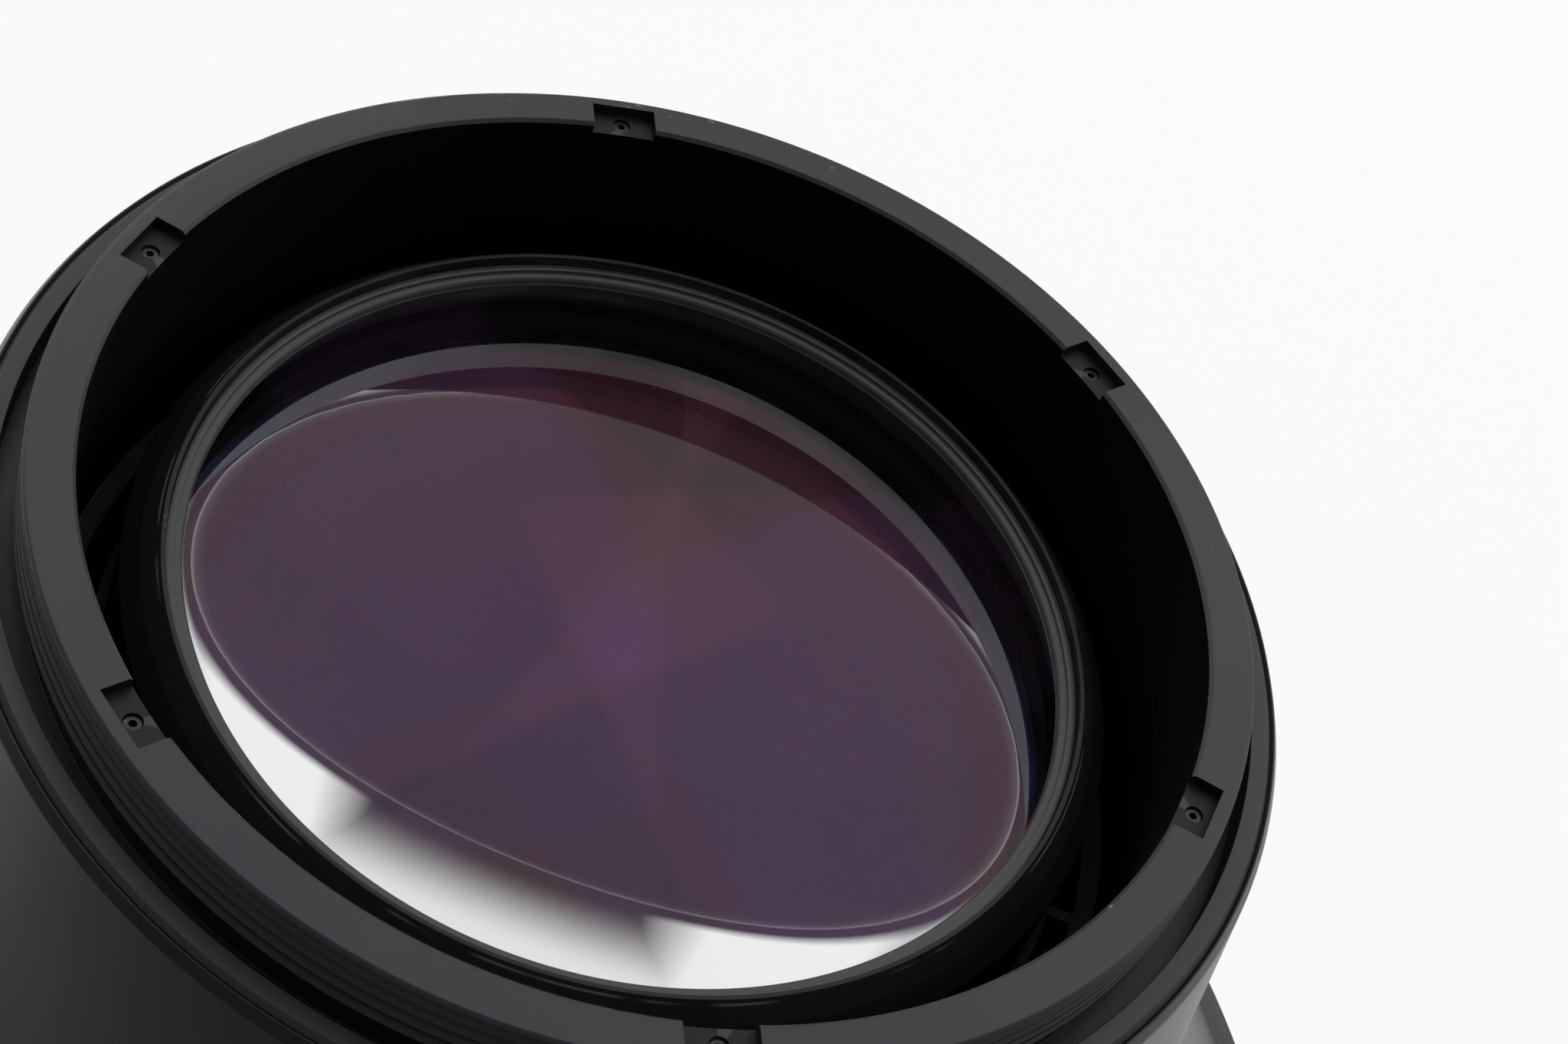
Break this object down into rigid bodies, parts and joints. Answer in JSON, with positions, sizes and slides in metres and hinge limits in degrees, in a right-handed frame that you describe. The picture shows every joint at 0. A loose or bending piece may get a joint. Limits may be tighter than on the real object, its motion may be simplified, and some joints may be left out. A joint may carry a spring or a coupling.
{
  "type": "wide angle conversion lens",
  "caption": "Flared afocal wide angle converter with a free-turning threaded mount collar, dark anodised shells and large coated glass in screwed cells.",
  "frame": {"origin": "middle of the front ring's open end, on the optical axis, where the part stands", "axes": "+Z along the optical axis from the front glass to the camera end, X towards one of the collar's pockets"},
  "size_m": [0.2012, 0.2012, 0.118],
  "materials": {
    "collar_black": "satin black anodised, worn bright at the edges",
    "screw_black": "black oxide",
    "ring_black": "satin black anodised",
    "glide_white": "natural, low friction",
    "barrel_black": "semi-gloss black",
    "liner_black": "dead matte black",
    "cell_black": "turned and black anodised",
    "baffle_black": "matte black",
    "optical_glass": "polished, multi-coated",
    "seal_rubber": "smooth"
  },
  "bodies": {
    "converter": {"collar_keeper_ring": "ring_black", "upper_glide_washer": "glide_white", "lower_glide_washer": "glide_white", "rear_barrel": "barrel_black", "bore_liner": "liner_black", "cell_spider": "cell_black", "rear_cell": "cell_black", "rear_retaining_ring": "ring_black", "rear_positive_element": "optical_glass", "rear_negative_element": "optical_glass", "rear_spacer_ring": "baffle_black", "rear_third_element": "optical_glass", "stray_light_baffle": "baffle_black", "front_bell": "barrel_black", "barrel_seal": "seal_rubber", "barrel_screws": "screw_black", "inner_cell": "cell_black", "inner_negative_element": "optical_glass", "inner_positive_element": "optical_glass", "inner_retaining_ring": "baffle_black", "inner_cell_ring": "baffle_black", "front_element": "optical_glass", "front_gasket": "seal_rubber", "front_retaining_ring": "ring_black", "front_ring": "ring_black", "front_ring_screws": "screw_black"},
    "collar": {"mount_collar": "collar_black", "collar_set_screws": "screw_black"}
  },
  "joints": [
    {"name": "collar_turn", "type": "hinge", "parent": "converter", "child": "collar", "pos_m": [0, 0, 0.1065], "axis": [0, 0, 1], "continuous": true}
  ]
}
